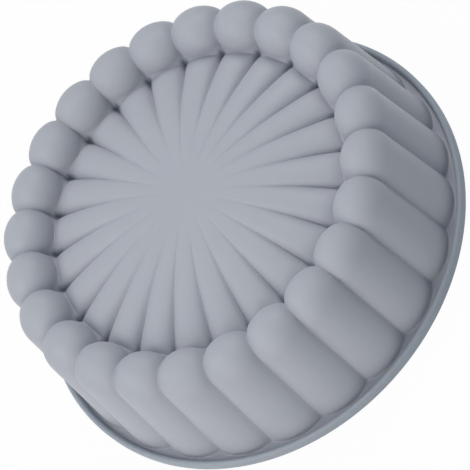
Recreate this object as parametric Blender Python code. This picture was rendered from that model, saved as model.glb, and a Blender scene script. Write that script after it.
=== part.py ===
# Silicone charlotte mould standing on its rim, base up. Metres, +Z up.
# The origin is the middle of the rim's flat underside.

import math

import bmesh
import bpy

# Rim: a flat web round the flutes, with a thick bead at its edge
RIM_RADIUS = 0.1200
BEAD_WIDTH = 0.0038
BEAD_HEIGHT = 0.0055
BEAD_LEAN = 0.0006
CROWN_HEIGHT = 0.0015
RIM_EDGE_ROUND = 0.0005
WEB_WIDTH = 0.0053
WEB_THICKNESS = 0.0025

# Fluted wall
FLUTES = 24
STEPS_PER_FLUTE = 6
WALL_THICKNESS = 0.0025
HEIGHT = 0.0742
FOOT_DEPTH = 0.0039
FOOT_FILLET = 0.0008
MOUTH_FILLET = 0.0008
WALL_INSET = 0.0149
DOME_RADIUS = 0.0139
DOME_INNER = 0.0135
CREASE_DEPTH = 0.0055
FLUTE_ROUNDNESS = 0.62

# Base: petals that fall from the middle to a valley under each dome, with grooves
# between them that drop into pits. Insets are from the dome's centre, depths from the top.
BASE_DROP = 0.0027
BASE_CURVE = 2.4
GROOVE_END_INSET = 0.0130
GROOVE_END_DEPTH = 0.0192
PIT_INSET = 0.0120
PIT_DEPTH = 0.0196
VALLEY_DEPTH = 0.0145
PETAL_RISE = 0.0068
PETAL_GROWTH = 2.4
PETAL_ROUNDNESS = 0.94
TIP_LENGTH = 0.0080
TIP_LIP = 0.0042

# Stiffening ring moulded into the bead
WIRE_DIAMETER = 0.0020
WIRE_HEIGHT = 0.0026
WIRE_CLEARANCE = 0.0003
PIN_HOLE_DIAMETER = 0.0015
PIN_HOLES = 12
PIN_HOLE_TURN = math.radians(3.75)
WIRE_STEPS = 48
WIRE_SIDES = 8

# What follows from the sizes above
BEAD_INNER = RIM_RADIUS - BEAD_WIDTH
WEB_TOP = WEB_THICKNESS
CREASE_FOOT = BEAD_INNER - WEB_WIDTH
RIDGE_FOOT = CREASE_FOOT + FOOT_DEPTH
DOME_CENTRE = (CREASE_FOOT - WALL_INSET, HEIGHT - DOME_RADIUS)
CREASE_RADIUS = DOME_RADIUS - CREASE_DEPTH
GROOVE_END = (DOME_CENTRE[0] - GROOVE_END_INSET, HEIGHT - GROOVE_END_DEPTH)
PIT = (DOME_CENTRE[0] - PIT_INSET, HEIGHT - PIT_DEPTH)
VALLEY_SINK = math.asin((DOME_CENTRE[1] - HEIGHT + VALLEY_DEPTH) / DOME_RADIUS)
VALLEY = (DOME_CENTRE[0] - DOME_INNER * math.cos(VALLEY_SINK), HEIGHT - VALLEY_DEPTH)
BASE_CENTRE = HEIGHT - BASE_DROP
WIRE_RADIUS = RIM_RADIUS - BEAD_WIDTH / 2
PITCH = 2 * math.pi / FLUTES
TOP = math.pi / 2

# Share of a quarter arc's radius between the corner it rounds and its middle
ARC_MIDDLE = 1 - math.sqrt(0.5)

# How finely each skin is divided: shares of the petal's length, then the steps round
# the petal's tip and over the inner and the outer half of a dome
OUTER_DIVISION = ((0, 0.38, 0.72), 3, 4, 4)
INNER_DIVISION = ((0, 0.55), 2, 3, 3)
CROWN_STEPS = 3
SLOPE_STEP = 0.0001


def clear_scene():
    for old in list(bpy.data.objects):
        bpy.data.objects.remove(old, do_unlink=True)


def make_collection(name):
    group = bpy.data.collections.new(name)
    bpy.context.scene.collection.children.link(group)
    return group


def make_material(name, colour, roughness, metallic):
    material = bpy.data.materials.new(name)
    material.use_nodes = True
    shader = material.node_tree.nodes["Principled BSDF"]
    shader.inputs["Base Color"].default_value = (*colour, 1)
    shader.inputs["Roughness"].default_value = roughness
    shader.inputs["Metallic"].default_value = metallic
    return material


def arc_points(centre, across, up, start, end, steps):
    """Points along an elliptical arc from one angle to the other, both ends included."""
    points = []
    for i in range(steps + 1):
        angle = start + (end - start) * i / steps
        points.append((centre[0] + across * math.cos(angle), centre[1] + up * math.sin(angle)))
    return points


def between(a, b, share):
    return (a[0] + (b[0] - a[0]) * share, a[1] + (b[1] - a[1]) * share)


def bend_points(start, corner, end, steps):
    """Points from start to end, both included, curving past the corner."""
    points = []
    for i in range(steps + 1):
        t = i / steps
        points.append(between(between(start, corner, t), between(corner, end, t), t))
    return points


def tangent_angle(centre, radius, foot):
    """Angle of the point where a straight wall from the foot touches the circle."""
    along, up = foot[0] - centre[0], foot[1] - centre[1]
    distance = math.hypot(along, up)
    return math.atan2(up, along) + math.acos(radius / distance)


def petal_height(radius, rise):
    """Height of the base at a radius: a power curve, raised along a petal's ridge."""
    share = radius / GROOVE_END[0]
    return BASE_CENTRE - (BASE_CENTRE - GROOVE_END[1]) * share**BASE_CURVE + rise * share**PETAL_GROWTH


def base_points(end, rise, stations, tip_steps):
    """The base from its centre to the end point, which the tip bends down to."""
    start = end[0] - TIP_LENGTH
    points = [(share * start, petal_height(share * start, rise)) for share in stations]
    height = petal_height(start, rise)
    slope = (petal_height(start + SLOPE_STEP, rise) - height) / SLOPE_STEP
    reach = TIP_LENGTH - TIP_LIP
    return points + bend_points((start, height), (start + reach, height + slope * reach), end, tip_steps)


def ridge_profile(division):
    """Outer skin in the middle of a flute, from the centre of the base to the web."""
    stations, tip_steps, inner_steps, outer_steps = division
    foot = (RIDGE_FOOT, WEB_TOP)
    points = base_points(VALLEY, PETAL_RISE, stations, tip_steps)
    end = tangent_angle(DOME_CENTRE, DOME_RADIUS, foot)
    # The dome starts in the valley, where the petal has ended
    start = math.pi + VALLEY_SINK
    points += arc_points(DOME_CENTRE, DOME_INNER, DOME_RADIUS, start, TOP, inner_steps)[1:]
    points += arc_points(DOME_CENTRE, DOME_RADIUS, DOME_RADIUS, TOP, end, outer_steps)[1:]
    return points + foot_points(points[-1], foot)


def crease_profile(division):
    """Outer skin along the crease between two flutes, with as many points as the ridge."""
    stations, tip_steps, inner_steps, outer_steps = division
    foot = (CREASE_FOOT, WEB_TOP)
    points = base_points(PIT, 0, stations, tip_steps)
    end = tangent_angle(DOME_CENTRE, CREASE_RADIUS, foot)
    points += arc_points(DOME_CENTRE, CREASE_RADIUS, CREASE_RADIUS, math.pi, TOP, inner_steps - 1)
    points += arc_points(DOME_CENTRE, CREASE_RADIUS, CREASE_RADIUS, TOP, end, outer_steps)[1:]
    return points + foot_points(points[-1], foot)


def foot_points(shoulder, foot):
    """The end of the straight wall and the small fillet that runs out onto the web."""
    share = FOOT_FILLET / (shoulder[1] - foot[1])
    above = (foot[0] + (shoulder[0] - foot[0]) * share, foot[1] + FOOT_FILLET)
    middle = (foot[0] + FOOT_FILLET * ARC_MIDDLE, foot[1] + FOOT_FILLET * ARC_MIDDLE)
    return [above, middle, (foot[0] + FOOT_FILLET, foot[1])]


def inner_profile(outer, foot_radius):
    """Cavity skin: the outer skin moved in by the wall, then run down to the mouth's fillet."""
    wall = outer[:-2]
    moved = []
    for i, point in enumerate(wall):
        before = wall[max(i - 1, 0)]
        after = wall[min(i + 1, len(wall) - 1)]
        along, up = after[0] - before[0], after[1] - before[1]
        length = math.hypot(along, up)
        # The profile runs outwards over the top, so its inner side is on its right
        moved.append((point[0] + up / length * WALL_THICKNESS, point[1] - along / length * WALL_THICKNESS))
    moved[0] = (0, wall[0][1] - WALL_THICKNESS)
    above, below = wall[-2], wall[-1]
    draft = (below[0] - above[0]) / (above[1] - below[1])
    mouth = foot_radius + draft * WEB_TOP - WALL_THICKNESS * math.hypot(1, draft)
    moved[-1] = (mouth - draft * MOUTH_FILLET, MOUTH_FILLET)
    moved.append((mouth + MOUTH_FILLET * ARC_MIDDLE, MOUTH_FILLET * ARC_MIDDLE))
    moved.append((mouth + MOUTH_FILLET, 0))
    return moved


def rim_profile():
    """The bead, from its inner corner on the web over the crown to the flat underside."""
    top_inner = BEAD_INNER + BEAD_LEAN
    half = (RIM_RADIUS - top_inner) / 2
    centre = (top_inner + half, BEAD_HEIGHT - CROWN_HEIGHT)
    points = [(BEAD_INNER, WEB_TOP)]
    points += arc_points(centre, half, CROWN_HEIGHT, math.pi, 0, CROWN_STEPS)
    points += [(RIM_RADIUS, RIM_EDGE_ROUND), (RIM_RADIUS - RIM_EDGE_ROUND, 0)]
    return points


def flute_share(angle, roundness):
    """0 on a flute's ridge and 1 in the crease, rounded across the flute."""
    offset = (angle / PITCH + 0.5) % 1 - 0.5
    across = roundness * 2 * abs(offset)
    return (1 - math.sqrt(1 - across**2)) / (1 - math.sqrt(1 - roundness**2))


def build_mould(group, material):
    """Spins one closed profile round the axis, then moves each point between ridge and crease."""
    ridge_inside = inner_profile(ridge_profile(INNER_DIVISION), RIDGE_FOOT)
    crease_inside = inner_profile(crease_profile(INNER_DIVISION), CREASE_FOOT)
    rim = rim_profile()
    ridge_loop = ridge_profile(OUTER_DIVISION) + rim + ridge_inside[::-1]
    crease_loop = crease_profile(OUTER_DIVISION) + rim + crease_inside[::-1]
    petal_points = len(OUTER_DIVISION[0]) + OUTER_DIVISION[1]

    shape = bmesh.new()
    names = ("ridge_r", "ridge_z", "crease_r", "crease_z", "roundness")
    layers = [shape.verts.layers.float.new(name) for name in names]
    chain = []
    for i, (on_ridge, in_crease) in enumerate(zip(ridge_loop, crease_loop)):
        vert = shape.verts.new((on_ridge[0], 0, on_ridge[1]))
        roundness = PETAL_ROUNDNESS if i < petal_points else FLUTE_ROUNDNESS
        for layer, value in zip(layers, (*on_ridge, *in_crease, roundness)):
            vert[layer] = value
        chain.append(vert)
    edges = [shape.edges.new(pair) for pair in zip(chain, chain[1:])]
    bmesh.ops.spin(
        shape,
        geom=chain + edges,
        cent=(0, 0, 0),
        axis=(0, 0, 1),
        angle=2 * math.pi,
        steps=FLUTES * STEPS_PER_FLUTE,
        use_merge=True,
    )
    for vert in shape.verts:
        angle = math.atan2(vert.co.y, vert.co.x)
        ridge_r, ridge_z, crease_r, crease_z, roundness = (vert[layer] for layer in layers)
        share = flute_share(angle, roundness)
        radius = ridge_r + (crease_r - ridge_r) * share
        vert.co = (radius * math.cos(angle), radius * math.sin(angle), ridge_z + (crease_z - ridge_z) * share)
    bmesh.ops.remove_doubles(shape, verts=shape.verts, dist=1e-6)
    bmesh.ops.recalc_face_normals(shape, faces=shape.faces)
    for face in shape.faces:
        face.smooth = True
    mesh = bpy.data.meshes.new("silicone_mould")
    shape.to_mesh(mesh)
    shape.free()
    mould = bpy.data.objects.new("silicone_mould", mesh)
    mould.data.materials.append(material)
    group.objects.link(mould)
    return mould


def add_torus(name, group, minor_radius):
    bpy.ops.mesh.primitive_torus_add(
        major_segments=WIRE_STEPS,
        minor_segments=WIRE_SIDES,
        major_radius=WIRE_RADIUS,
        minor_radius=minor_radius,
        location=(0, 0, WIRE_HEIGHT),
    )
    torus = bpy.context.object
    torus.name = name
    move_to(torus, group)
    return torus


def move_to(item, group):
    for old in list(item.users_collection):
        old.objects.unlink(item)
    group.objects.link(item)


def build_ring(group, material):
    ring = add_torus("rim_support_ring", group, WIRE_DIAMETER / 2)
    ring.data.materials.append(material)
    ring.data.shade_smooth()
    return ring


def cut_ring_seat(mould, cutters):
    """Cuts the ring's channel and the holes that the tool's locating pins leave under the rim."""
    add_torus("ring_channel_cutter", cutters, WIRE_DIAMETER / 2 + WIRE_CLEARANCE)
    for i in range(PIN_HOLES):
        angle = 2 * math.pi * i / PIN_HOLES + PIN_HOLE_TURN
        bpy.ops.mesh.primitive_cylinder_add(
            vertices=WIRE_SIDES,
            radius=PIN_HOLE_DIAMETER / 2,
            depth=2 * WIRE_HEIGHT,
            location=(WIRE_RADIUS * math.cos(angle), WIRE_RADIUS * math.sin(angle), 0),
        )
        pin = bpy.context.object
        pin.name = f"pin_hole_cutter_{i + 1}"
        move_to(pin, cutters)
    for cutter in cutters.objects:
        cutter.hide_render = True
        cutter.display_type = "WIRE"
    cut = mould.modifiers.new("ring_seat", "BOOLEAN")
    cut.operation = "DIFFERENCE"
    cut.solver = "EXACT"
    cut.operand_type = "COLLECTION"
    cut.collection = cutters


def main():
    clear_scene()
    parts = make_collection("silicone_charlotte_mould")
    cutters = make_collection("cutters")
    silicone = make_material("grey_silicone", (0.39, 0.42, 0.47), 0.55, 0.0)
    steel = make_material("steel_wire", (0.60, 0.60, 0.61), 0.35, 1.0)
    mould = build_mould(parts, silicone)
    build_ring(parts, steel)
    cut_ring_seat(mould, cutters)
    least_wall = min(WIRE_HEIGHT, BEAD_HEIGHT - WIRE_HEIGHT, BEAD_WIDTH / 2) - WIRE_DIAMETER / 2
    print(f"silicone around the ring: {(least_wall - WIRE_CLEARANCE) * 1000:.2f} mm at least")


main()
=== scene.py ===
import math

import bmesh
import bpy
from mathutils import Matrix, Vector


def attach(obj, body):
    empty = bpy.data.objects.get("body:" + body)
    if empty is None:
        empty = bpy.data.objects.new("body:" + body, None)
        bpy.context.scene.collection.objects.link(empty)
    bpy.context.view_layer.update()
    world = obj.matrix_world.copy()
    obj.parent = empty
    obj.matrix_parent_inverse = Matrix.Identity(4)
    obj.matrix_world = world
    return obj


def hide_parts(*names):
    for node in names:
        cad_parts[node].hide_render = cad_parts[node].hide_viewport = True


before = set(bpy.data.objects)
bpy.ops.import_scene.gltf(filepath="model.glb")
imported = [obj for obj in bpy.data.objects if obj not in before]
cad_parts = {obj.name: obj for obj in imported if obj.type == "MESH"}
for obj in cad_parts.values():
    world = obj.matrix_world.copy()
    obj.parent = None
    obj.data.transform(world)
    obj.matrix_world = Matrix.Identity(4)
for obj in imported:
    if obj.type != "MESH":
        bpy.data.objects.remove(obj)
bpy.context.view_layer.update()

# Looks for the silicone charlotte mould. It stands on its rim with the base up.
# Sizes are in metres, and the origin is the middle of the rim's flat underside.

bpy.context.scene.view_settings.view_transform = "Standard"
print("frame loaded:", ", ".join(sorted(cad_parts)))


# Small helpers for profiles, each a list of (radius, height)

def arc(centre, radius, inner, start, end, steps):
    # the half nearer the axis is drawn in or out to the inner radius
    points = []
    for i in range(steps + 1):
        turn = start + (end - start) * i / steps
        across = inner if math.cos(turn) < 0 else radius
        points.append((centre[0] + across * math.cos(turn), centre[1] + radius * math.sin(turn)))
    return points


def between(a, b, share):
    return (a[0] + (b[0] - a[0]) * share, a[1] + (b[1] - a[1]) * share)


def straight(a, b, steps):
    return [between(a, b, i / steps) for i in range(steps + 1)]


def bendRound(a, corner, b, steps):
    # from a to b, curving past the corner
    points = []
    for i in range(steps + 1):
        share = i / steps
        points.append(between(between(a, corner, share), between(corner, b, share), share))
    return points


def towards(a, b, distance):
    return between(a, b, distance / math.dist(a, b))


# The mould's own sizes

mouldSize = {
    "flutes": 24,
    "rimRadius": 0.1200,
    "beadWidth": 0.0038,
    "beadHeight": 0.0055,
    "beadLean": 0.0006,
    "beadFillet": 0.0003,
    "crown": 0.0015,
    "rimEdge": 0.0005,
    "webWidth": 0.0053,
    "webThickness": 0.0025,
    "wall": 0.0025,
    "height": 0.0742,
    "footDepth": 0.0039,
    "footFillet": 0.0008,
    "mouthFillet": 0.0008,
    "wallInset": 0.0149,
    "domeRadius": 0.0139,
    "creaseDepth": 0.0055,
    "grooveEnd": (0.0130, 0.0192),  # in from the dome's centre and down, where a groove drops into its pit
    "pitInset": 0.0120,
    "pitDepth": 0.0196,
    "domeInner": 0.0135,
    "valleyDepth": 0.0145,
    "baseDrop": 0.0027,
    "baseCurve": 2.4,
    "petalRise": 0.0068,
    "petalGrowth": 2.4,
    "tipLength": 0.0080,
    "tipLip": 0.0042,
    "valleyFillet": 0.0010,
    "creaseFillet": 0.018,   # share of a flute's width
    "petalRoundness": 0.94,  # 0 is a flat flute, 1 a half circle
    "domeRoundness": 0.62,
    "wallRoundness": 0.62,
    "petalSlit": 0.20,       # share of a groove's depth that is a narrow slit
    "domeSlit": 0.22,
    "wallSlit": 0.12,
    "slitPower": 12,
}

# Mesh lines along each stretch of the outer and inner profiles, and across each flute
outerSteps = {"petal": 40, "tip": 14, "valley": 5, "dome": 34, "wall": 16, "foot": 5,
              "beadFoot": 3, "crown": 14, "rimEdge": 4}
innerSteps = {"petal": 26, "tip": 6, "valley": 3, "dome": 20, "wall": 10, "foot": 5}
stepsPerFlute = 16
crowding = 1.5          # 1 spreads the lines evenly, more crowds them towards the creases
webLoopShare = 0.15     # where on the web one more line lies
small = 0.0001          # a distance too short to show
mergeDistance = 0.000001

m = mouldSize
aroundSteps = m["flutes"] * stepsPerFlute
beadInner = m["rimRadius"] - m["beadWidth"]
webTop = m["webThickness"]
creaseFoot = beadInner - m["webWidth"]
ridgeFoot = creaseFoot + m["footDepth"]
domeCentre = (creaseFoot - m["wallInset"], m["height"] - m["domeRadius"])
pit = (domeCentre[0] - m["pitInset"], m["height"] - m["pitDepth"])
grooveEnd = (domeCentre[0] - m["grooveEnd"][0], m["height"] - m["grooveEnd"][1])
baseTop = m["height"] - m["baseDrop"]


def petalHeight(radius, rise):
    groove = baseTop - (baseTop - grooveEnd[1]) * (radius / grooveEnd[0]) ** m["baseCurve"]
    return groove + rise * (radius / grooveEnd[0]) ** m["petalGrowth"]


def skinLine(onRidge, steps):
    # outer skin from the middle of the base, over a petal, its tip, a dome and down the wall to the web
    if onRidge:
        radius, inner, foot, rise = m["domeRadius"], m["domeInner"], (ridgeFoot, webTop), m["petalRise"]
        sink = math.asin((domeCentre[1] - m["height"] + m["valleyDepth"]) / radius)
        valley = (domeCentre[0] - inner * math.cos(sink), m["height"] - m["valleyDepth"])
    else:
        radius, foot, rise = m["domeRadius"] - m["creaseDepth"], (creaseFoot, webTop), 0
        inner, sink, valley = radius, 0, pit
    along, up = foot[0] - domeCentre[0], foot[1] - domeCentre[1]
    leave = math.atan2(up, along) + math.acos(radius / math.hypot(along, up))
    tipStart = valley[0] - m["tipLength"]
    petal = [(r, petalHeight(r, rise)) for r, _ in straight((0, 0), (tipStart, 0), steps["petal"])]
    slope = (petalHeight(tipStart + small, rise) - petal[-1][1]) / small
    reach = m["tipLength"] - m["tipLip"]
    corner = (tipStart + reach, petal[-1][1] + slope * reach)
    tip = bendRound(petal[-1], corner, towards(valley, corner, m["valleyFillet"]), steps["tip"])
    dome = arc(domeCentre, radius, inner, math.pi + sink - m["valleyFillet"] / radius, leave, steps["dome"])
    valleyBend = bendRound(tip[-1], valley, dome[0], steps["valley"])
    shoulder = dome[-1]
    footStart = towards(foot, shoulder, m["footFillet"])
    wall = straight(shoulder, footStart, steps["wall"])
    footBend = bendRound(footStart, foot, (foot[0] + m["footFillet"], foot[1]), steps["foot"])
    return petal + tip[1:] + valleyBend[1:-1] + dome + wall[1:] + footBend[1:]


def cavityLine(onRidge, steps):
    # the outer skin moved in by the wall's thickness, then run out to the mouth
    skin = skinLine(onRidge, steps)[:-steps["foot"]]
    moved = []
    for i, point in enumerate(skin):
        before, after = skin[max(i - 1, 0)], skin[min(i + 1, len(skin) - 1)]
        along, up = after[0] - before[0], after[1] - before[1]
        length = math.hypot(along, up)
        moved.append((point[0] + up / length * m["wall"], point[1] - along / length * m["wall"]))
    moved[0] = (0, skin[0][1] - m["wall"])
    above, below = skin[-2], skin[-1]
    draft = (below[0] - above[0]) / (above[1] - below[1])
    foot = ridgeFoot if onRidge else creaseFoot
    mouth = foot + draft * webTop - m["wall"] * math.hypot(1, draft)
    start = (mouth - draft * m["mouthFillet"], m["mouthFillet"])
    moved[-1] = start
    return moved + bendRound(start, (mouth, 0), (mouth + m["mouthFillet"], 0), steps["foot"])[1:]


def beadLine(steps):
    # from the web up over the bead's crown, down its outside and back under it
    inner = (beadInner, webTop)
    top = beadInner + m["beadLean"]
    half = (m["rimRadius"] - top) / 2
    crownFoot = m["beadHeight"] - m["crown"]
    webEnd = (beadInner - m["beadFillet"], webTop)
    points = bendRound(webEnd, inner, towards(inner, (top, crownFoot), m["beadFillet"]), steps["beadFoot"])
    for i in range(steps["crown"] + 1):
        turn = math.pi * (1 - i / steps["crown"])
        points.append((top + half + half * math.cos(turn), crownFoot + m["crown"] * math.sin(turn)))
    edge = m["rimRadius"], m["rimEdge"]
    points += bendRound(edge, (edge[0], 0), (edge[0] - m["rimEdge"], 0), steps["rimEdge"])
    points.append((beadInner, 0))
    return points


def outerLine(onRidge):
    # one more line close to the foot, so that the web is shaded flat
    skin, rim = skinLine(onRidge, outerSteps), beadLine(outerSteps)
    return skin + [between(skin[-1], rim[0], webLoopShare)] + rim


def fluteShare(offset, roundness, slit):
    # 0 on a flute's ridge, 1 in the crease: an arc with a narrow slit at its foot, rounded at the bottom
    def curve(x):
        arcPart = (1 - math.sqrt(1 - (roundness * 2 * x) ** 2)) / (1 - math.sqrt(1 - roundness ** 2))
        return arcPart * (1 - slit) + slit * (2 * x) ** m["slitPower"]
    x = abs(offset)
    start = 0.5 - m["creaseFillet"]
    step = 0.0005
    slope = (curve(start) - curve(start - step)) / step
    bottom = curve(start) + slope * m["creaseFillet"] / 2
    if x <= start:
        return curve(x) / bottom
    run = x - start
    return (curve(start) + slope * run - slope * run * run / (2 * m["creaseFillet"])) / bottom


# The seat of the steel ring in the bead

ringSeat = {
    "radius": 0.1181,
    "height": 0.0026,
    "channelRadius": 0.0013,
    "channelSides": 24,
    "pinHoles": 12,
    "pinHoleRadius": 0.00075,
    "pinHoleSides": 16,
    "pinHoleTurn": math.radians(3.75),
    "rimPatch": (0.0030, 0.0015),      # half the patch that is opened round a hole, across and along the rim
    "channelPatch": (0.0009, 0.0013),
}


def addChannel(mesh):
    # the round channel in the bead, a shell of its own until the pin holes join it to the rim's underside
    skin = set(mesh.faces)
    tube = bmesh.new()
    place = Matrix.Translation((ringSeat["radius"], 0, ringSeat["height"]))
    place = place @ Matrix.Rotation(math.radians(90), 4, "X")
    bmesh.ops.create_circle(tube, cap_ends=False, radius=ringSeat["channelRadius"],
                            segments=ringSeat["channelSides"], matrix=place)
    bmesh.ops.spin(tube, geom=tube.verts[:] + tube.edges[:], cent=(0, 0, 0), axis=(0, 0, 1),
                   angle=2 * math.pi, steps=aroundSteps, use_merge=True)
    tubeData = bpy.data.meshes.new("channel")
    tube.to_mesh(tubeData)
    tube.free()
    mesh.from_mesh(tubeData)
    bpy.data.meshes.remove(tubeData)
    channel = [face for face in mesh.faces if face not in skin]
    for face in channel:
        face.smooth = True
    return channel


def openPatch(mesh, faces, turn, reach, hole):
    # takes out the faces round a pin hole, and fills from there to the hole's edge
    patch, uses = [], {}
    for face in faces:
        if face.is_valid:
            local = Matrix.Rotation(-turn, 3, "Z") @ face.calc_center_median()
            if local.x > 0 and abs(local.x - ringSeat["radius"]) < reach[0] and abs(local.y) < reach[1]:
                patch.append(face)
                for edge in face.edges:
                    uses[edge] = uses.get(edge, 0) + 1
    border = [edge for edge, count in uses.items() if count == 1]
    bmesh.ops.delete(mesh, geom=patch, context="FACES")
    bmesh.ops.triangle_fill(mesh, use_beauty=True, edges=border + hole, normal=(0, 0, 1))
    for edge in hole:
        edge.smooth = False


def cutRingSeat(mesh):
    # small holes under the rim, where pins held the ring in the tool, go up into its channel
    channel = addChannel(mesh)
    underside = [face for face in mesh.faces if max(vert.co.z for vert in face.verts) < mergeDistance
                 and min(vert.co.xy.length for vert in face.verts) > beadInner - small]
    belowHere = ringSeat["height"] - ringSeat["channelRadius"] / 2
    lower = [face for face in channel if face.calc_center_median().z < belowHere]
    holes = []
    for i in range(ringSeat["pinHoles"]):
        turn = 2 * math.pi * i / ringSeat["pinHoles"] + ringSeat["pinHoleTurn"]
        place = Matrix.Rotation(turn, 4, "Z") @ Matrix.Translation((ringSeat["radius"], 0, 0))
        circle = bmesh.ops.create_circle(mesh, cap_ends=False, radius=ringSeat["pinHoleRadius"],
                                         segments=ringSeat["pinHoleSides"], matrix=place)["verts"]
        holes.append((turn, circle, list(dict.fromkeys(edge for vert in circle for edge in vert.link_edges))))
    bmesh.ops.extrude_edge_only(mesh, edges=[edge for hole in holes for edge in hole[2]])
    for turn, circle, lowEdges in holes:
        sides = [edge.link_faces[0] for edge in lowEdges]
        highEdges = [edge for face in sides for edge in face.edges if not set(edge.verts) & set(circle)]
        for face in sides:
            face.smooth = True
        for vert in {vert for edge in highEdges for vert in edge.verts}:
            across = (Matrix.Rotation(-turn, 3, "Z") @ vert.co).x - ringSeat["radius"]
            vert.co.z = ringSeat["height"] - math.sqrt(ringSeat["channelRadius"] ** 2 - across ** 2)
        openPatch(mesh, underside, turn, ringSeat["rimPatch"], lowEdges)
        openPatch(mesh, lower, turn, ringSeat["channelPatch"], highEdges)


def crowdedTurn(step):
    # a mesh line's offset from the nearest ridge, in flutes, and its turn round the axis
    offset = (step / stepsPerFlute + 0.5) % 1 - 0.5
    offset = math.copysign(0.5 * (1 - (1 - 2 * abs(offset)) ** crowding), offset)
    return offset, (round(step / stepsPerFlute - offset) + offset) * 2 * math.pi / m["flutes"]


def spinLine(line):
    # each vertex keeps its number on the line in the layer "place"
    mesh = bmesh.new()
    place = mesh.verts.layers.int.new("place")
    chain = []
    for i, (radius, height) in enumerate(line):
        vert = mesh.verts.new((radius, 0, height))
        vert[place] = i
        chain.append(vert)
    edges = [mesh.edges.new(pair) for pair in zip(chain, chain[1:])]
    bmesh.ops.spin(mesh, geom=chain + edges, cent=(0, 0, 0), axis=(0, 0, 1), angle=2 * math.pi,
                   steps=aroundSteps, use_merge=True)
    return mesh, place


def buildMould():
    ridge, crease = outerLine(True), outerLine(False)
    outside = len(ridge)
    ridge += cavityLine(True, innerSteps)[::-1]
    crease += cavityLine(False, innerSteps)[::-1]
    petalEnd = outerSteps["petal"] + outerSteps["tip"]
    valleyMiddle = petalEnd + (outerSteps["valley"] + 1) // 2
    domeEnd = petalEnd + outerSteps["valley"] + outerSteps["dome"]
    wallEnd = domeEnd + outerSteps["wall"] + outerSteps["foot"]

    mesh, place = spinLine(ridge)
    groove = mesh.verts.layers.float.new("groove")
    inside = mesh.verts.layers.float.new("inside")
    valleyHighlight = mesh.verts.layers.float.new("valleyHighlight")
    shares = {}
    for vert in mesh.verts:
        i = vert[place]
        offset, turn = crowdedTurn(round(math.atan2(vert.co.y, vert.co.x) / (2 * math.pi) * aroundSteps))
        part = "petal" if i <= petalEnd else "dome" if i <= domeEnd else "wall"
        key = (round(offset, 6), part)
        if key not in shares:
            shares[key] = fluteShare(offset, m[part + "Roundness"], m[part + "Slit"])
        share = shares[key]
        radius, height = between(ridge[i], crease[i], share)
        vert.co = (radius * math.cos(turn), radius * math.sin(turn), height)
        vert[groove] = share if i < wallEnd or i > outside else 0
        vert[inside] = 1 if i > outside else 0
        # marks the valley's middle line, where a highlight is painted
        vert[valleyHighlight] = 1 if i == valleyMiddle else 0
    mesh.verts.layers.int.remove(place)
    bmesh.ops.remove_doubles(mesh, verts=mesh.verts, dist=mergeDistance)
    for face in mesh.faces:
        face.smooth = True
    cutRingSeat(mesh)
    bmesh.ops.recalc_face_normals(mesh, faces=mesh.faces)
    return addPiece("mouldSkin", mesh)


def addPiece(name, mesh):
    data = bpy.data.meshes.new(name)
    mesh.to_mesh(data)
    mesh.free()
    piece = bpy.data.objects.new(name, data)
    bpy.context.scene.collection.objects.link(piece)
    return piece


mouldSkin = buildMould()
print("mould skin:", len(mouldSkin.data.polygons), "faces")
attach(mouldSkin, "root")
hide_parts("silicone_mould")


# Helpers for materials

def addNode(tree, kind, **values):
    node = tree.nodes.new(kind)
    for name, value in values.items():
        setattr(node, name, value)
    return node


def setInput(tree, socket, value):
    # a link where the value is another node's output
    if isinstance(value, bpy.types.NodeSocket):
        tree.links.new(value, socket)
    else:
        socket.default_value = value


def mathNode(tree, operation, first, second=0.0, clamp=False):
    node = addNode(tree, "ShaderNodeMath", operation=operation, use_clamp=clamp)
    setInput(tree, node.inputs[0], first)
    setInput(tree, node.inputs[1], second)
    return node.outputs[0]


def product(tree, *values):
    total = values[0]
    for value in values[1:]:
        total = mathNode(tree, "MULTIPLY", total, value)
    return total


def greatest(tree, *values):
    most = values[0]
    for value in values[1:]:
        most = mathNode(tree, "MAXIMUM", most, value)
    return most


def rangeNode(tree, value, low, high, toLow=0.0, toHigh=1.0):
    node = addNode(tree, "ShaderNodeMapRange", interpolation_type="SMOOTHSTEP")
    for socket, given in zip(node.inputs[:5], (value, low, high, toLow, toHigh)):
        setInput(tree, socket, given)
    return node.outputs[0]


def vectorNode(tree, **axes):
    node = addNode(tree, "ShaderNodeCombineXYZ")
    for name, value in axes.items():
        setInput(tree, node.inputs[name], value)
    return node.outputs[0]


def lengthNode(tree, vector):
    node = addNode(tree, "ShaderNodeVectorMath", operation="LENGTH")
    tree.links.new(vector, node.inputs[0])
    return node.outputs["Value"]


def mixColour(tree, share, first, second):
    node = addNode(tree, "ShaderNodeMix", data_type="RGBA")
    setInput(tree, node.inputs[0], share)
    setInput(tree, node.inputs[6], first)
    setInput(tree, node.inputs[7], second)
    return node.outputs[2]


def noiseNode(tree, place, scale, detail, roughness):
    node = addNode(tree, "ShaderNodeTexNoise")
    setInput(tree, node.inputs["Vector"], place)
    setInput(tree, node.inputs["Scale"], scale)
    setInput(tree, node.inputs["Detail"], detail)
    setInput(tree, node.inputs["Roughness"], roughness)
    return node.outputs["Fac"]


def newMaterial(name):
    material = bpy.data.materials.new(name)
    material.use_nodes = True
    return material, material.node_tree, material.node_tree.nodes["Principled BSDF"]


def objectPlace(tree):
    # the place on the object, and its parts along the axes
    place = addNode(tree, "ShaderNodeTexCoord").outputs["Object"]
    axes = addNode(tree, "ShaderNodeSeparateXYZ")
    tree.links.new(place, axes.inputs[0])
    return place, axes.outputs


def addBump(tree, shader, height):
    # the height is in metres
    bump = addNode(tree, "ShaderNodeBump")
    bump.inputs["Strength"].default_value = 1.0
    bump.inputs["Distance"].default_value = 1.0
    tree.links.new(height, bump.inputs["Height"])
    tree.links.new(bump.outputs["Normal"], shader.inputs["Normal"])


# Wear that the silicone and the steel share: mottling, specks of dust, smudges and a fine grain.
# Each noise has its detail and roughness.

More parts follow.
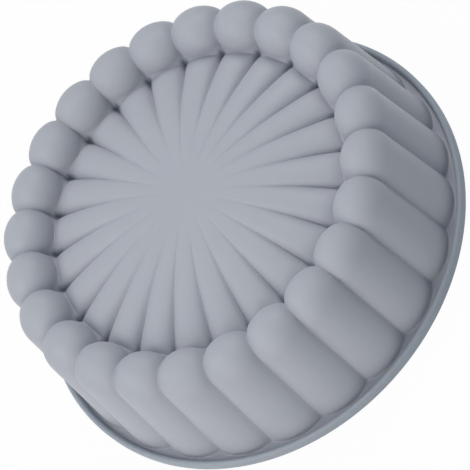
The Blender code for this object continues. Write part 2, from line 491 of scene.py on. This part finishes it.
wearLook = {
    "mottleNoise": (4.0, 0.6),
    "mottleRange": (0.25, 0.75),
    "speckEdge": (0.05, 0.12),
    "speckRarity": 0.80,
    "smudgeScale": 0.45,        # against the mottling's
    "smudgeNoise": (3.0, 0.55),
    "smudgeRange": (0.45, 0.62),
    "grainNoise": (3.0, 0.6),
}


def handledWear():
    look = wearLook
    group = bpy.data.node_groups.new("handledWear", "ShaderNodeTree")
    group.interface.new_socket(name="Place", in_out="INPUT", socket_type="NodeSocketVector")
    for name in ("Mottle Scale", "Speck Scale", "Grain Scale"):
        group.interface.new_socket(name=name, in_out="INPUT", socket_type="NodeSocketFloat")
    for name in ("Mottle", "Specks", "Smudge", "Grain"):
        group.interface.new_socket(name=name, in_out="OUTPUT", socket_type="NodeSocketFloat")
    given = addNode(group, "NodeGroupInput").outputs
    result = addNode(group, "NodeGroupOutput").inputs
    mottle = noiseNode(group, given["Place"], given["Mottle Scale"], *look["mottleNoise"])
    group.links.new(rangeNode(group, mottle, *look["mottleRange"]), result["Mottle"])
    cells = addNode(group, "ShaderNodeTexVoronoi")
    group.links.new(given["Place"], cells.inputs["Vector"])
    group.links.new(given["Speck Scale"], cells.inputs["Scale"])
    tiny = rangeNode(group, cells.outputs["Distance"], *look["speckEdge"], 1.0, 0.0)
    rare = mathNode(group, "GREATER_THAN", cells.outputs["Color"], look["speckRarity"])
    group.links.new(product(group, tiny, rare), result["Specks"])
    smudgeScale = product(group, given["Mottle Scale"], look["smudgeScale"])
    smudge = noiseNode(group, given["Place"], smudgeScale, *look["smudgeNoise"])
    group.links.new(rangeNode(group, smudge, *look["smudgeRange"]), result["Smudge"])
    grain = noiseNode(group, given["Place"], given["Grain Scale"], *look["grainNoise"])
    group.links.new(grain, result["Grain"])
    return group


wear = handledWear()


def wearNode(tree, place, scales):
    node = addNode(tree, "ShaderNodeGroup", node_tree=wear)
    tree.links.new(place, node.inputs["Place"])
    for name, scale in scales.items():
        node.inputs[name].default_value = scale
    return node.outputs


siliconeLook = {
    "colour": (0.418, 0.420, 0.462, 1),
    "mottled": (0.446, 0.440, 0.466, 1),
    "mottleShare": 0.35,
    # painted shade: the dark blue-grey mixed in at the creases, pits, bead's foot, rim's edge and wall's foot
    "paintedShadeColour": (0.120, 0.135, 0.170, 1),
    # painted shade in the creases
    "creaseShare": 0.40,
    "creaseDepth": (0.80, 1.0),         # shares of a groove's depth between which its dark line comes in
    "creaseGrows": (0.040, 0.082),      # radii between which the line grows towards the pits
    "creaseFades": (0.084, 0.090),      # and between which it fades past them
    "wallCrease": 0.10,
    # painted shade in the pits
    "pitShare": 0.90,
    "pitRadius": 0.0840,
    "pitReach": (0.0100, 0.0020),       # inwards and outwards
    "pitDepth": (1.0, 0.2),             # shares of a groove's depth, from the middle of a pit to its edge
    "pitHeight": (0.0575, 0.0605),
    # the bead is painted darker and bluer than the rest, as painted shade
    "beadShadeColour": (0.345, 0.368, 0.412, 1),
    "beadBlend": 0.0006,
    "beadLine": 0.36,                   # a line of painted shade where the bead meets the web
    "beadLineWidth": 0.00040,
    "beadLineTop": (0.0006, 0.0016),    # heights above the web
    "rimContactShadow": 0.40,                    # a painted contact shadow where the rim touches what it stands on
    "rimContactShadowWidth": 0.00055,
    "rimContactShadowTop": (0.0003, 0.0010),
    # painted shade on the wall's foot, fading out upwards
    "footShadeShare": 0.07,
    "footShadeHeight": 0.0130,
    "specks": (0.60, 0.61, 0.62, 1),
    "speckShare": 0.35,
    # a painted highlight along the valley where each petal meets its dome
    "valleyHighlightColour": (0.52, 0.545, 0.58, 1),
    "valleyHighlightShare": 0.10,
    "valleyHighlightEnds": (0.30, 0.75),           # shares of a groove's depth between which the painted highlight ends
    "roughness": 0.52,
    "smudged": 0.62,
    "insideRoughness": 0.32,
    "wearScales": {"Mottle Scale": 26.0, "Speck Scale": 420.0, "Grain Scale": 2600.0},
    "grainDepth": 0.00002,
    "markRadius": (0.0034, 0.0040),     # the round mark that the feed point leaves in the middle of the base
    "markDepth": 0.00005,
}


def creaseShade(tree, look, radius, groove):
    # painted shade: dark lines in the creases, faint on the wall
    line = rangeNode(tree, groove, *look["creaseDepth"])
    grow = rangeNode(tree, radius, *look["creaseGrows"], 0.0, look["creaseShare"])
    fade = rangeNode(tree, radius, *look["creaseFades"], 1.0, look["wallCrease"] / look["creaseShare"])
    return product(tree, grow, fade, line)


def pitShade(tree, look, radius, height, groove):
    # painted shade in the pits where two domes and two petals meet
    away = mathNode(tree, "SUBTRACT", radius, look["pitRadius"])
    inwards = mathNode(tree, "DIVIDE", mathNode(tree, "MINIMUM", away, 0.0), look["pitReach"][0])
    outwards = mathNode(tree, "DIVIDE", mathNode(tree, "MAXIMUM", away, 0.0), look["pitReach"][1])
    across = rangeNode(tree, groove, *look["pitDepth"])
    gap = lengthNode(tree, vectorNode(tree, X=mathNode(tree, "ADD", inwards, outwards), Y=across))
    near = rangeNode(tree, gap, 0.0, 1.0, look["pitShare"], 0.0)
    return product(tree, near, rangeNode(tree, height, *look["pitHeight"], 1.0, 0.0))


def rimShade(tree, look, radius, height):
    # painted shade along the bead's foot, a painted contact shadow at the rim's lower edge, and painted shade
    # at the foot of the wall
    middle = beadInner + look["beadLineWidth"] / 2
    fromLine = mathNode(tree, "ABSOLUTE", mathNode(tree, "SUBTRACT", radius, middle))
    lineTop = [webTop + up for up in look["beadLineTop"]]
    beadFoot = product(tree, rangeNode(tree, fromLine, 0.0, look["beadLineWidth"], look["beadLine"], 0.0),
                       rangeNode(tree, height, *lineTop, 1.0, 0.0))
    rimContactShadowMask = product(tree, mathNode(tree, "GREATER_THAN", radius, m["rimRadius"] - look["rimContactShadowWidth"]),
                      rangeNode(tree, height, *look["rimContactShadowTop"], look["rimContactShadow"], 0.0))
    wallFootShade = product(tree, rangeNode(tree, height, webTop, look["footShadeHeight"], look["footShadeShare"], 0.0),
                       mathNode(tree, "LESS_THAN", radius, beadInner))
    return greatest(tree, beadFoot, rimContactShadowMask, wallFootShade)


def greySilicone():
    look = siliconeLook
    material, tree, shader = newMaterial("greySilicone")
    place, axes = objectPlace(tree)
    height = axes["Z"]
    radius = lengthNode(tree, vectorNode(tree, X=axes["X"], Y=axes["Y"]))
    worn = wearNode(tree, place, look["wearScales"])
    groove, inside, valleyHighlight = (addNode(tree, "ShaderNodeAttribute", attribute_name=name).outputs["Fac"]
                            for name in ("groove", "inside", "valleyHighlight"))
    outer = mathNode(tree, "SUBTRACT", 1.0, inside)

    mottle = product(tree, worn["Mottle"], look["mottleShare"])
    colour = mixColour(tree, mottle, look["colour"], look["mottled"])
    # painted shade: the outside of the bead made darker and bluer
    onShadedBead = product(tree, rangeNode(tree, radius, beadInner, beadInner + look["beadBlend"]), outer)
    colour = mixColour(tree, onShadedBead, colour, look["beadShadeColour"])
    # painted shade in the creases and pits, along the bead's foot, at the rim's edge and at the wall's foot
    dark = greatest(tree, creaseShade(tree, look, radius, groove),
                    pitShade(tree, look, radius, height, groove), rimShade(tree, look, radius, height))
    dark = mathNode(tree, "MULTIPLY", dark, outer, clamp=True)
    colour = mixColour(tree, dark, colour, look["paintedShadeColour"])
    # painted highlight along the valley, on the ridges only
    ridgeOnly = rangeNode(tree, groove, *look["valleyHighlightEnds"], 1.0, 0.0)
    colour = mixColour(tree, product(tree, valleyHighlight, ridgeOnly, look["valleyHighlightShare"]), colour, look["valleyHighlightColour"])
    colour = mixColour(tree, product(tree, worn["Specks"], look["speckShare"]), colour, look["specks"])
    tree.links.new(colour, shader.inputs["Base Color"])

    # glossier inside, where the tool was polished
    rough = rangeNode(tree, worn["Smudge"], 0.0, 1.0, look["roughness"], look["smudged"])
    mixRough = addNode(tree, "ShaderNodeMix", data_type="FLOAT")
    setInput(tree, mixRough.inputs[0], inside)
    setInput(tree, mixRough.inputs[2], rough)
    setInput(tree, mixRough.inputs[3], look["insideRoughness"])
    tree.links.new(mixRough.outputs[0], shader.inputs["Roughness"])

    grain = product(tree, worn["Grain"], look["grainDepth"])
    mark = product(tree, rangeNode(tree, radius, *look["markRadius"]), look["markDepth"])
    addBump(tree, shader, mathNode(tree, "ADD", grain, mark))
    return material


mouldSkin.data.materials.append(greySilicone())
print("silicone applied")


steelLook = {
    "colour": (0.60, 0.60, 0.61, 1),
    "dulled": (0.44, 0.44, 0.45, 1),
    "speckColour": (0.30, 0.27, 0.24, 1),
    "roughness": (0.24, 0.42),
    "streakScale": 5200.0,
    "streakNoise": (3.0, 0.6),
    "streakRange": (0.3, 0.7),
    "streakStretch": 0.004,      # how far a drawing line runs along the wire, against its width
    "streakDepth": 0.000004,
    "wearScales": {"Mottle Scale": 90.0, "Speck Scale": 1200.0},
}


def drawnSteel():
    look = steelLook
    material, tree, shader = newMaterial("drawnSteel")
    shader.inputs["Metallic"].default_value = 1.0
    place, axes = objectPlace(tree)
    turn = mathNode(tree, "ARCTAN2", axes["Y"], axes["X"])
    along = product(tree, turn, ringSeat["radius"] * look["streakStretch"])
    drawn = vectorNode(tree, X=lengthNode(tree, place), Y=along, Z=axes["Z"])
    streak = noiseNode(tree, drawn, look["streakScale"], *look["streakNoise"])
    worn = wearNode(tree, place, look["wearScales"])
    colour = mixColour(tree, worn["Mottle"], look["colour"], look["dulled"])
    colour = mixColour(tree, worn["Specks"], colour, look["speckColour"])
    tree.links.new(colour, shader.inputs["Base Color"])
    rough = rangeNode(tree, streak, *look["streakRange"], *look["roughness"])
    tree.links.new(rough, shader.inputs["Roughness"])
    addBump(tree, shader, product(tree, streak, look["streakDepth"]))
    return material


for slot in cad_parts["rim_support_ring"].material_slots:
    slot.material = drawnSteel()
print("steel applied")


# Floor, world and lights

stageLook = {
    "floorColour": (0.75, 0.75, 0.75, 1),
    "floorSize": 6.0,
    "floorGap": 0.0002,
    "whiteShare": 0.97,        # the rest lets the object's shadow show on the floor
    "white": (1, 1, 1, 1),
    "skyColour": (0.74, 1.0, 1.16, 1),
    "skyLight": 0.31,
    "skyGain": 0.10,           # the sky is this much brighter on one side, and darker on the other
    "skySide": math.radians(150),
}


def seenDirectly(tree):
    # 1 for camera, mirror and see-through rays, 0 for the light that bounces onto the object
    path = addNode(tree, "ShaderNodeLightPath").outputs
    return greatest(tree, path["Is Camera Ray"], path["Is Glossy Ray"], path["Is Transmission Ray"])


def mixShaders(tree, share, first, second):
    mix = addNode(tree, "ShaderNodeMixShader")
    for socket, output in zip(mix.inputs, (share, first, second)):
        tree.links.new(output, socket)
    return mix.outputs[0]


def floorPaint():
    material, tree, _ = newMaterial("floorPaint")
    tree.nodes.clear()
    matt = addNode(tree, "ShaderNodeBsdfDiffuse")
    matt.inputs["Color"].default_value = stageLook["floorColour"]
    glow = addNode(tree, "ShaderNodeEmission")
    white = product(tree, seenDirectly(tree), stageLook["whiteShare"])
    above = mixShaders(tree, white, matt.outputs[0], glow.outputs[0])
    # seen from below the floor is clear, so that the underside of the rim can be looked at
    below = addNode(tree, "ShaderNodeBsdfTransparent").outputs[0]
    side = addNode(tree, "ShaderNodeNewGeometry").outputs["Backfacing"]
    out = addNode(tree, "ShaderNodeOutputMaterial")
    tree.links.new(mixShaders(tree, side, above, below), out.inputs["Surface"])
    return material


def studioWorld():
    world = bpy.data.worlds.new("studio")
    world.use_nodes = True
    tree = world.node_tree
    tree.nodes.clear()
    ray = addNode(tree, "ShaderNodeTexCoord").outputs["Generated"]
    sided = addNode(tree, "ShaderNodeVectorMath", operation="DOT_PRODUCT")
    tree.links.new(ray, sided.inputs[0])
    sided.inputs[1].default_value = (math.cos(stageLook["skySide"]), math.sin(stageLook["skySide"]), 0)
    gain = product(tree, sided.outputs["Value"], stageLook["skyGain"])
    sky = addNode(tree, "ShaderNodeBackground")
    sky.inputs["Color"].default_value = stageLook["skyColour"]
    tree.links.new(mathNode(tree, "ADD", gain, stageLook["skyLight"]), sky.inputs["Strength"])
    white = addNode(tree, "ShaderNodeBackground")
    white.inputs["Color"].default_value = stageLook["white"]
    both = mixShaders(tree, seenDirectly(tree), sky.outputs[0], white.outputs[0])
    out = addNode(tree, "ShaderNodeOutputWorld")
    tree.links.new(both, out.inputs["Surface"])
    return world


floorMesh = bmesh.new()
bmesh.ops.create_grid(floorMesh, x_segments=1, y_segments=1, size=stageLook["floorSize"] / 2)
bmesh.ops.translate(floorMesh, vec=(0, 0, -stageLook["floorGap"]), verts=floorMesh.verts)
floor = addPiece("floor", floorMesh)
floor.data.materials.append(floorPaint())
bpy.context.scene.world = studioWorld()

lampSet = {
    "aim": (0, 0, 0.04),
    "size": 1.5,
    "lamps": [
        {"name": "leftLamp", "place": (-1.41, 0.00, 1.69), "watts": 17.0, "colour": (1, 0.965, 0.945)},
        {"name": "backLamp", "place": (1.11, 0.88, 1.69), "watts": 20.4, "colour": (1, 0.965, 0.945)},
        {"name": "sideLamp", "place": (-1.42, -1.54, 0.68), "watts": 16.4, "colour": (1, 0.94, 0.87)},
    ],
}
for lamp in lampSet["lamps"]:
    light = bpy.data.lights.new(lamp["name"], "AREA")
    light.size = lampSet["size"]
    light.energy = lamp["watts"]
    light.color = lamp["colour"]
    stand = bpy.data.objects.new(lamp["name"], light)
    stand.location = lamp["place"]
    aim = Vector(lampSet["aim"]) - Vector(lamp["place"])
    stand.rotation_euler = aim.to_track_quat("-Z", "Y").to_euler()
    bpy.context.scene.collection.objects.link(stand)
print("stage and lamps set")


# Camera, at the photograph's angle

cameraSet = {
    "azimuth": -0.99,
    "elevation": 50.75,
    "roll": -49.61,
    "target": (-0.0005, 0.0093, 0.0076),
    "distance": 1.893,
    "lens": 284.4,
    "sensorWidth": 36,
    "clipEnd": 20,
}
lens = bpy.data.cameras.new("camera")
lens.lens = cameraSet["lens"]
lens.sensor_width = cameraSet["sensorWidth"]
lens.clip_end = cameraSet["clipEnd"]
camera = bpy.data.objects.new("camera", lens)
bpy.context.scene.collection.objects.link(camera)
camera.matrix_world = (
    Matrix.Rotation(math.radians(cameraSet["azimuth"]), 4, "Z")
    @ Matrix.Translation(cameraSet["target"])
    @ Matrix.Rotation(math.radians(90 - cameraSet["elevation"]), 4, "X")
    @ Matrix.Rotation(math.radians(cameraSet["roll"]), 4, "Z")
    @ Matrix.Translation((0, 0, cameraSet["distance"]))
)
bpy.context.scene.camera = camera
